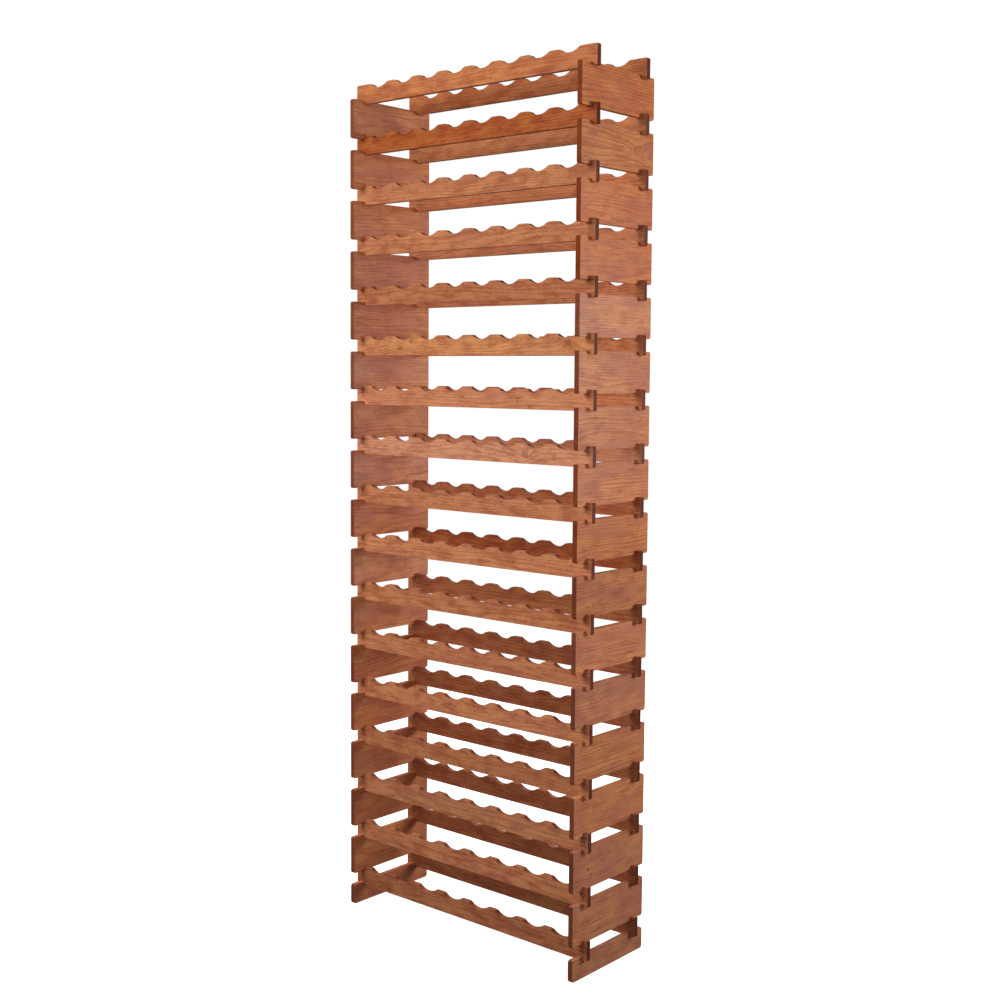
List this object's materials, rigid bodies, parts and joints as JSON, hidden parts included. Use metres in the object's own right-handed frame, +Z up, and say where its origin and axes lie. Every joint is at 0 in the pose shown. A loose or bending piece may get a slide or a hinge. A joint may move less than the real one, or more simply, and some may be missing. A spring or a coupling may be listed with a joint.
{
  "type": "wine rack",
  "caption": "Tall, narrow, free-standing wine rack of stained pine: scalloped cross rails stacked between side boards, each rail notched over the boards as a cross-lap.",
  "frame": {"origin": "on the floor, under the middle of the rack", "axes": "+X across the rack to its right side seen from the front, +Y from the front to the rear, +Z up"},
  "size_m": [0.8026, 0.2888, 2.2289],
  "materials": {
    "side_boards": "stained pine, satin",
    "rails": "stained pine, satin",
    "joined_frames": "stained pine, satin"
  },
  "bodies": {
    "root": {"base_frame": "joined_frames", "tier_frame_01": "joined_frames", "tier_frame_02": "joined_frames", "side_board_left_03": "side_boards", "side_board_right_03": "side_boards", "side_board_left_04": "side_boards", "side_board_right_04": "side_boards", "side_board_left_05": "side_boards", "side_board_right_05": "side_boards", "side_board_left_06": "side_boards", "side_board_right_06": "side_boards", "side_board_left_07": "side_boards", "side_board_right_07": "side_boards", "side_board_left_08": "side_boards", "side_board_right_08": "side_boards", "side_board_left_09": "side_boards", "side_board_right_09": "side_boards", "side_board_left_10": "side_boards", "side_board_right_10": "side_boards", "side_board_left_11": "side_boards", "side_board_right_11": "side_boards", "side_board_left_12": "side_boards", "side_board_right_12": "side_boards", "side_board_left_13": "side_boards", "side_board_right_13": "side_boards", "side_board_left_14": "side_boards", "side_board_right_14": "side_boards", "side_board_left_15": "side_boards", "side_board_right_15": "side_boards", "side_board_left_16": "side_boards", "side_board_right_16": "side_boards", "rail_front_04": "rails", "rail_rear_04": "rails", "rail_front_05": "rails", "rail_rear_05": "rails", "rail_front_06": "rails", "rail_rear_06": "rails", "rail_front_07": "rails", "rail_rear_07": "rails", "rail_front_08": "rails", "rail_rear_08": "rails", "rail_front_09": "rails", "rail_rear_09": "rails", "rail_front_10": "rails", "rail_rear_10": "rails", "rail_front_11": "rails", "rail_rear_11": "rails", "rail_front_12": "rails", "rail_rear_12": "rails", "rail_front_13": "rails", "rail_rear_13": "rails", "rail_front_14": "rails", "rail_rear_14": "rails", "rail_front_15": "rails", "rail_rear_15": "rails", "rail_front_16": "rails", "rail_rear_16": "rails", "rail_front_17": "rails", "rail_rear_17": "rails"}
  },
  "joints": []
}
